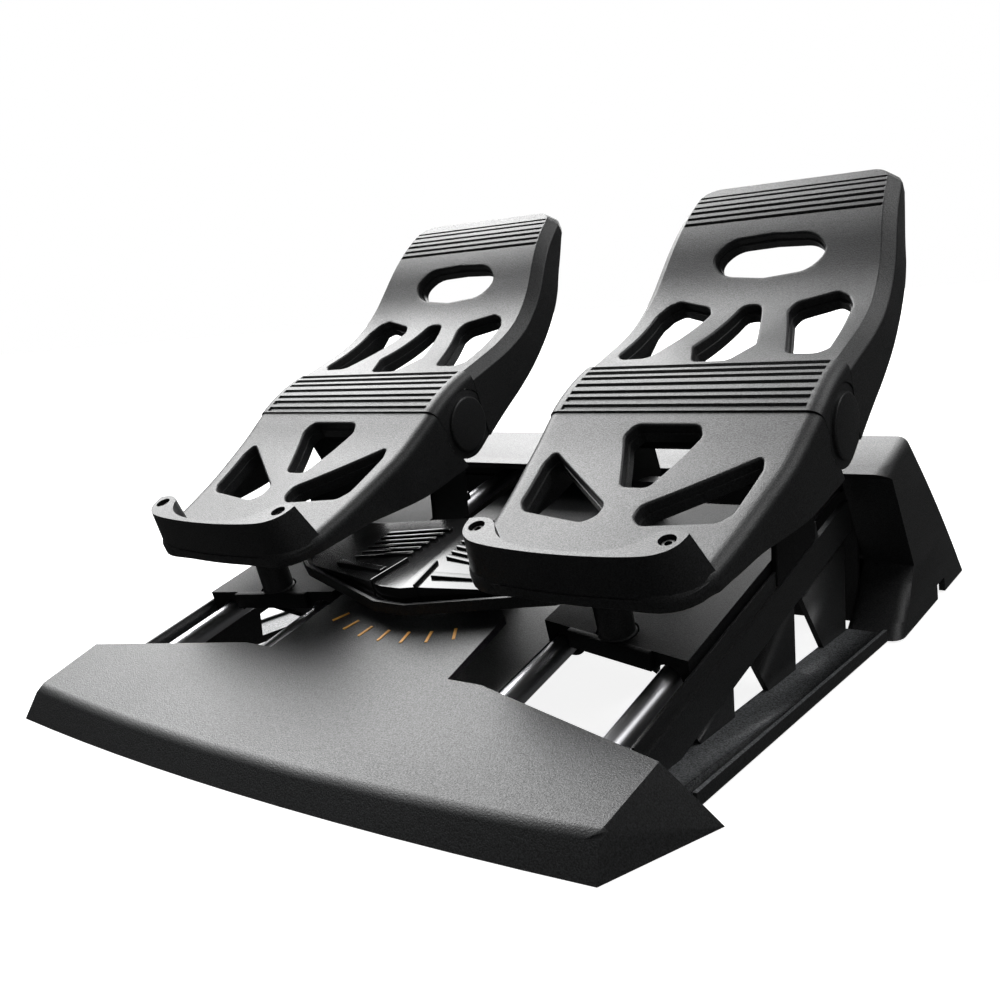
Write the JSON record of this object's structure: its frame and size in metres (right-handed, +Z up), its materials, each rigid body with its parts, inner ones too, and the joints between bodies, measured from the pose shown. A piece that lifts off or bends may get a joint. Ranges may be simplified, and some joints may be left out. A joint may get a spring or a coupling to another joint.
{
  "type": "flight simulator rudder pedals",
  "caption": "Floor-standing rudder pedal set: sliding pedals on inclined tubes, tied by a rocker, each with a sprung toe brake and ribbed, pierced sole.",
  "frame": {"origin": "middle of the footprint on the floor", "axes": "+X to the user's right, +Y away from the user towards the hood, +Z up"},
  "size_m": [0.314, 0.3825, 0.2075],
  "materials": {
    "pedal_plastic": "fine moulded texture",
    "satin_plastic": "satin moulded",
    "deck_plastic": "fine speckled moulded texture",
    "frame_plastic": "smooth black",
    "tube_steel": "dark drawn tube",
    "plain_steel": "plain",
    "bush_brass": "turned",
    "soft_rubber": "soft",
    "board_green": "coated board",
    "scale_orange": "printed marks"
  },
  "bodies": {
    "base": {"front_deck": "deck_plastic", "deck_ticks": "scale_orange", "side_frame_left": "frame_plastic", "side_frame_right": "frame_plastic", "rail_inner_left": "tube_steel", "rail_inner_right": "tube_steel", "rail_outer_left": "tube_steel", "rail_outer_right": "tube_steel", "front_crossbar": "frame_plastic", "rear_crossbar": "frame_plastic", "rear_hood": "deck_plastic", "mouth_panel": "frame_plastic", "rear_base_plate": "frame_plastic", "centre_tray": "frame_plastic", "rocker_axle": "plain_steel", "rocker_spring": "plain_steel", "rudder_sensor": "board_green", "circuit_board": "board_green", "cable_grommet": "soft_rubber", "rubber_feet": "soft_rubber", "base_screws": "plain_steel"},
    "carriage_left": {"carriage_left": "frame_plastic", "glide_bushes_left": "bush_brass", "upright_inner_left": "frame_plastic", "upright_outer_left": "frame_plastic", "heel_post_left": "frame_plastic", "heel_bumper_left": "soft_rubber", "pedal_axle_left": "plain_steel", "link_pin_left": "plain_steel", "brake_sensor_left": "board_green"},
    "pedal_left": {"toe_plate_left": "pedal_plastic", "heel_plate_left": "pedal_plastic", "rib_cover_left": "pedal_plastic", "heel_rest_left": "satin_plastic", "hinge_caps_left": "satin_plastic", "heel_screws_left": "plain_steel", "axle_bushes_left": "bush_brass", "pedal_frame_left": "frame_plastic", "toe_spring_left": "plain_steel"},
    "carriage_right": {"carriage_right": "frame_plastic", "glide_bushes_right": "bush_brass", "upright_inner_right": "frame_plastic", "upright_outer_right": "frame_plastic", "heel_post_right": "frame_plastic", "heel_bumper_right": "soft_rubber", "pedal_axle_right": "plain_steel", "link_pin_right": "plain_steel", "brake_sensor_right": "board_green"},
    "pedal_right": {"toe_plate_right": "pedal_plastic", "heel_plate_right": "pedal_plastic", "rib_cover_right": "pedal_plastic", "heel_rest_right": "satin_plastic", "hinge_caps_right": "satin_plastic", "heel_screws_right": "plain_steel", "axle_bushes_right": "bush_brass", "pedal_frame_right": "frame_plastic", "toe_spring_right": "plain_steel"},
    "rocker": {"rocker_frame": "deck_plastic", "rocker_cover": "deck_plastic", "rocker_bush": "bush_brass"}
  },
  "joints": [
    {"name": "right_pedal_slide", "type": "slide", "parent": "base", "child": "carriage_right", "axis": [0, 0.9674, 0.2531], "range_m": [-0.024, 0.024], "stiffness_N_per_m": 120},
    {"name": "left_pedal_slide", "type": "slide", "parent": "base", "child": "carriage_left", "axis": [0, 0.9674, 0.2531], "range_m": [-0.024, 0.024]},
    {"name": "rocker_turn", "type": "hinge", "parent": "base", "child": "rocker", "pos_m": [0, -0.04473, 0.03649], "axis": [0, -0.2531, 0.9674], "range_deg": [-21, 21]},
    {"name": "left_toe_brake", "type": "hinge", "parent": "carriage_left", "child": "pedal_left", "pos_m": [-0.0906, -0.0072, 0.1032], "axis": [-1, 0, 0], "range_deg": [0, 14], "stiffness_Nm_per_rad": 6, "springref_deg": -5.73},
    {"name": "right_toe_brake", "type": "hinge", "parent": "carriage_right", "child": "pedal_right", "pos_m": [0.0906, -0.0072, 0.1032], "axis": [-1, 0, 0], "range_deg": [0, 14], "stiffness_Nm_per_rad": 6, "springref_deg": -5.73}
  ],
  "couplings": [
    {"joint": "left_pedal_slide", "follows": "right_pedal_slide", "ratio": -1},
    {"joint": "rocker_turn", "follows": "right_pedal_slide", "rad_per_m": 15.152}
  ]
}
